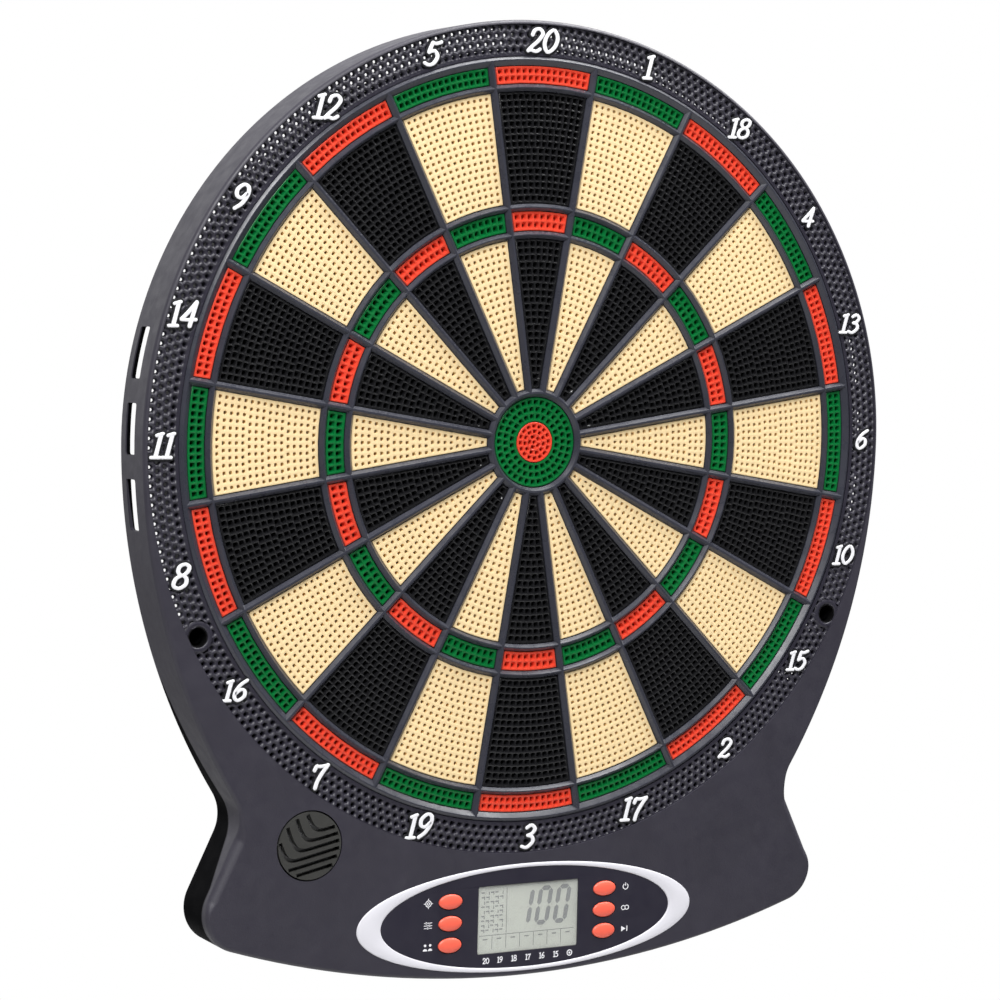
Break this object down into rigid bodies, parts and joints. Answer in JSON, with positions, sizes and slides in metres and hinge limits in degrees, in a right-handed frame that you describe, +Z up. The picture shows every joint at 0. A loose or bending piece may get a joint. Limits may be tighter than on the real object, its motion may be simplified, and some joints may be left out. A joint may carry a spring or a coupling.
{
  "type": "electronic dartboard",
  "caption": "Wall-hung electronic soft-tip dartboard: round scoring face with spring-back segments, number ring, display panel with keys, speaker grille and battery box.",
  "frame": {"origin": "on the wall plane, at the middle of the cover's back, straight behind the bull", "axes": "+Y out of the board's back into the wall, +Z up, +X to the right as the face is seen; the face looks along -Y"},
  "size_m": [0.384, 0.0282, 0.44],
  "materials": {
    "housing": "fine-textured moulded ABS, dark charcoal",
    "spider": "moulded ABS, dark grey",
    "segment_black": "moulded polypropylene, black",
    "segment_cream": "moulded polypropylene, cream",
    "segment_red": "moulded polypropylene, orange-red",
    "segment_green": "moulded polypropylene, green",
    "rubber": "grey rubber sheet",
    "film": "printed polyester film",
    "board": "tempered hardboard",
    "panel": "dark moulded panel",
    "trim_white": "white print and trim",
    "window": "clear acrylic",
    "key_red": "coral moulded keys",
    "pcb": "green solder mask",
    "lcd": "reflective liquid-crystal glass",
    "steel": "zinc-plated steel",
    "battery_jacket": "plain dark printed steel can",
    "wire": "black wire insulation"
  },
  "bodies": {
    "housing": {"front_housing": "housing", "rear_cover": "housing", "spider_grid": "spider", "rubber_mat": "rubber", "membrane_front_film": "film", "membrane_spacer": "film", "membrane_rear_film": "film", "membrane_tail_left": "film", "membrane_tail_right": "film", "backing_board": "board", "control_panel": "panel", "panel_trim": "trim_white", "display_window": "window", "main_board": "pcb", "lcd_module": "lcd", "keypad_rubber_left": "rubber", "keypad_rubber_right": "rubber", "speaker": "steel", "speaker_lead": "wire", "battery_1": "battery_jacket", "battery_2": "battery_jacket", "battery_3": "battery_jacket", "contact_plate_left": "steel", "contact_plate_right": "steel", "housing_screw_1": "steel", "housing_screw_2": "steel", "housing_screw_3": "steel", "housing_screw_4": "steel", "housing_screw_5": "steel", "housing_screw_6": "steel", "housing_screw_7": "steel"},
    "segments_20": {"segments_20": "segment_black"},
    "segments_01": {"segments_01": "segment_cream"},
    "segments_18": {"segments_18": "segment_black"},
    "segments_04": {"segments_04": "segment_cream"},
    "segments_13": {"segments_13": "segment_black"},
    "segments_06": {"segments_06": "segment_cream"},
    "segments_10": {"segments_10": "segment_black"},
    "segments_15": {"segments_15": "segment_cream"},
    "segments_02": {"segments_02": "segment_black"},
    "segments_17": {"segments_17": "segment_cream"},
    "segments_03": {"segments_03": "segment_black"},
    "segments_19": {"segments_19": "segment_cream"},
    "segments_07": {"segments_07": "segment_black"},
    "segments_16": {"segments_16": "segment_cream"},
    "segments_08": {"segments_08": "segment_black"},
    "segments_11": {"segments_11": "segment_cream"},
    "segments_14": {"segments_14": "segment_black"},
    "segments_09": {"segments_09": "segment_cream"},
    "segments_12": {"segments_12": "segment_black"},
    "segments_05": {"segments_05": "segment_cream"},
    "outer_bull": {"outer_bull": "segment_green"},
    "inner_bull": {"inner_bull": "segment_red"},
    "key_upper_left": {"key_upper_left": "key_red"},
    "key_middle_left": {"key_middle_left": "key_red"},
    "key_lower_left": {"key_lower_left": "key_red"},
    "key_upper_right": {"key_upper_right": "key_red"},
    "key_middle_right": {"key_middle_right": "key_red"},
    "key_lower_right": {"key_lower_right": "key_red"},
    "battery_door": {"battery_door": "housing"}
  },
  "joints": [
    {"name": "segments_20_press", "type": "slide", "parent": "housing", "child": "segments_20", "axis": [0, 1, 0], "range_m": [0, 0.001], "stiffness_N_per_m": 1500},
    {"name": "segments_01_press", "type": "slide", "parent": "housing", "child": "segments_01", "axis": [0, 1, 0], "range_m": [0, 0.001], "stiffness_N_per_m": 1500},
    {"name": "segments_18_press", "type": "slide", "parent": "housing", "child": "segments_18", "axis": [0, 1, 0], "range_m": [0, 0.001], "stiffness_N_per_m": 1500},
    {"name": "segments_04_press", "type": "slide", "parent": "housing", "child": "segments_04", "axis": [0, 1, 0], "range_m": [0, 0.001], "stiffness_N_per_m": 1500},
    {"name": "segments_13_press", "type": "slide", "parent": "housing", "child": "segments_13", "axis": [0, 1, 0], "range_m": [0, 0.001], "stiffness_N_per_m": 1500},
    {"name": "segments_06_press", "type": "slide", "parent": "housing", "child": "segments_06", "axis": [0, 1, 0], "range_m": [0, 0.001], "stiffness_N_per_m": 1500},
    {"name": "segments_10_press", "type": "slide", "parent": "housing", "child": "segments_10", "axis": [0, 1, 0], "range_m": [0, 0.001], "stiffness_N_per_m": 1500},
    {"name": "segments_15_press", "type": "slide", "parent": "housing", "child": "segments_15", "axis": [0, 1, 0], "range_m": [0, 0.001], "stiffness_N_per_m": 1500},
    {"name": "segments_02_press", "type": "slide", "parent": "housing", "child": "segments_02", "axis": [0, 1, 0], "range_m": [0, 0.001], "stiffness_N_per_m": 1500},
    {"name": "segments_17_press", "type": "slide", "parent": "housing", "child": "segments_17", "axis": [0, 1, 0], "range_m": [0, 0.001], "stiffness_N_per_m": 1500},
    {"name": "segments_03_press", "type": "slide", "parent": "housing", "child": "segments_03", "axis": [0, 1, 0], "range_m": [0, 0.001], "stiffness_N_per_m": 1500},
    {"name": "segments_19_press", "type": "slide", "parent": "housing", "child": "segments_19", "axis": [0, 1, 0], "range_m": [0, 0.001], "stiffness_N_per_m": 1500},
    {"name": "segments_07_press", "type": "slide", "parent": "housing", "child": "segments_07", "axis": [0, 1, 0], "range_m": [0, 0.001], "stiffness_N_per_m": 1500},
    {"name": "segments_16_press", "type": "slide", "parent": "housing", "child": "segments_16", "axis": [0, 1, 0], "range_m": [0, 0.001], "stiffness_N_per_m": 1500},
    {"name": "segments_08_press", "type": "slide", "parent": "housing", "child": "segments_08", "axis": [0, 1, 0], "range_m": [0, 0.001], "stiffness_N_per_m": 1500},
    {"name": "segments_11_press", "type": "slide", "parent": "housing", "child": "segments_11", "axis": [0, 1, 0], "range_m": [0, 0.001], "stiffness_N_per_m": 1500},
    {"name": "segments_14_press", "type": "slide", "parent": "housing", "child": "segments_14", "axis": [0, 1, 0], "range_m": [0, 0.001], "stiffness_N_per_m": 1500},
    {"name": "segments_09_press", "type": "slide", "parent": "housing", "child": "segments_09", "axis": [0, 1, 0], "range_m": [0, 0.001], "stiffness_N_per_m": 1500},
    {"name": "segments_12_press", "type": "slide", "parent": "housing", "child": "segments_12", "axis": [0, 1, 0], "range_m": [0, 0.001], "stiffness_N_per_m": 1500},
    {"name": "segments_05_press", "type": "slide", "parent": "housing", "child": "segments_05", "axis": [0, 1, 0], "range_m": [0, 0.001], "stiffness_N_per_m": 1500},
    {"name": "outer_bull_press", "type": "slide", "parent": "housing", "child": "outer_bull", "axis": [0, 1, 0], "range_m": [0, 0.001], "stiffness_N_per_m": 1500},
    {"name": "inner_bull_press", "type": "slide", "parent": "housing", "child": "inner_bull", "axis": [0, 1, 0], "range_m": [0, 0.001], "stiffness_N_per_m": 1200},
    {"name": "key_upper_left_press", "type": "slide", "parent": "housing", "child": "key_upper_left", "axis": [0, 1, 0], "range_m": [0, 0.0008], "stiffness_N_per_m": 300},
    {"name": "key_middle_left_press", "type": "slide", "parent": "housing", "child": "key_middle_left", "axis": [0, 1, 0], "range_m": [0, 0.0008], "stiffness_N_per_m": 300},
    {"name": "key_lower_left_press", "type": "slide", "parent": "housing", "child": "key_lower_left", "axis": [0, 1, 0], "range_m": [0, 0.0008], "stiffness_N_per_m": 300},
    {"name": "key_upper_right_press", "type": "slide", "parent": "housing", "child": "key_upper_right", "axis": [0, 1, 0], "range_m": [0, 0.0008], "stiffness_N_per_m": 300},
    {"name": "key_middle_right_press", "type": "slide", "parent": "housing", "child": "key_middle_right", "axis": [0, 1, 0], "range_m": [0, 0.0008], "stiffness_N_per_m": 300},
    {"name": "key_lower_right_press", "type": "slide", "parent": "housing", "child": "key_lower_right", "axis": [0, 1, 0], "range_m": [0, 0.0008], "stiffness_N_per_m": 300},
    {"name": "battery_door_lift", "type": "slide", "parent": "housing", "child": "battery_door", "axis": [0, 1, 0], "range_m": [0, 0.025]}
  ]
}
